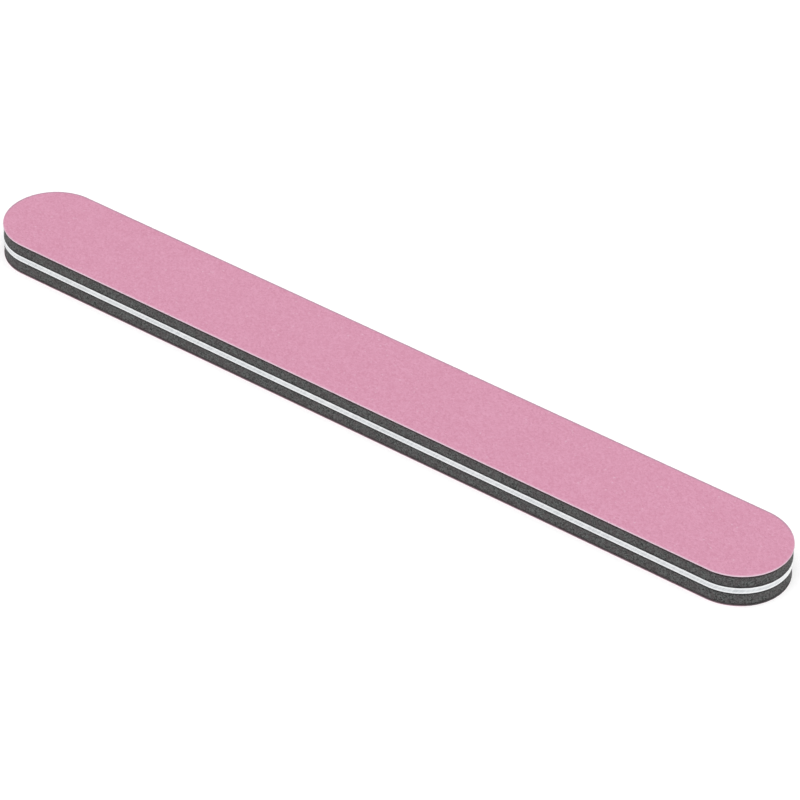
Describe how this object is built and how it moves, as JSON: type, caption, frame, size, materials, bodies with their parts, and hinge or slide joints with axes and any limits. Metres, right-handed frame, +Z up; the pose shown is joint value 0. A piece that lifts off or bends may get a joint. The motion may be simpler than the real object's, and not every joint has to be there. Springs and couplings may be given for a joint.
{
  "type": "cushioned nail buffer board",
  "caption": "Straight, round-ended hand board for smoothing nails: fine abrasive paper on soft foam on both faces, around a stiff plastic core.",
  "frame": {"origin": "centre of the lower abrasive face, on which the board rests", "axes": "+X along the board's length, +Y across its width, +Z up through the layers to the upper abrasive face"},
  "size_m": [0.178, 0.02, 0.0071],
  "materials": {
    "top_abrasive_grain": "matte",
    "bottom_abrasive_grain": "matte",
    "top_paper": "matte",
    "bottom_paper": "matte",
    "adhesive_film": "satin",
    "foam": "matte",
    "core_plastic": "satin"
  },
  "bodies": {
    "root": {"bottom_abrasive_coat": "bottom_abrasive_grain", "bottom_backing_paper": "bottom_paper", "bottom_paper_adhesive": "adhesive_film", "bottom_foam_cushion": "foam", "bottom_core_adhesive": "adhesive_film", "core_strip": "core_plastic", "top_core_adhesive": "adhesive_film", "top_foam_cushion": "foam", "top_paper_adhesive": "adhesive_film", "top_backing_paper": "top_paper", "top_abrasive_coat": "top_abrasive_grain"}
  },
  "joints": []
}
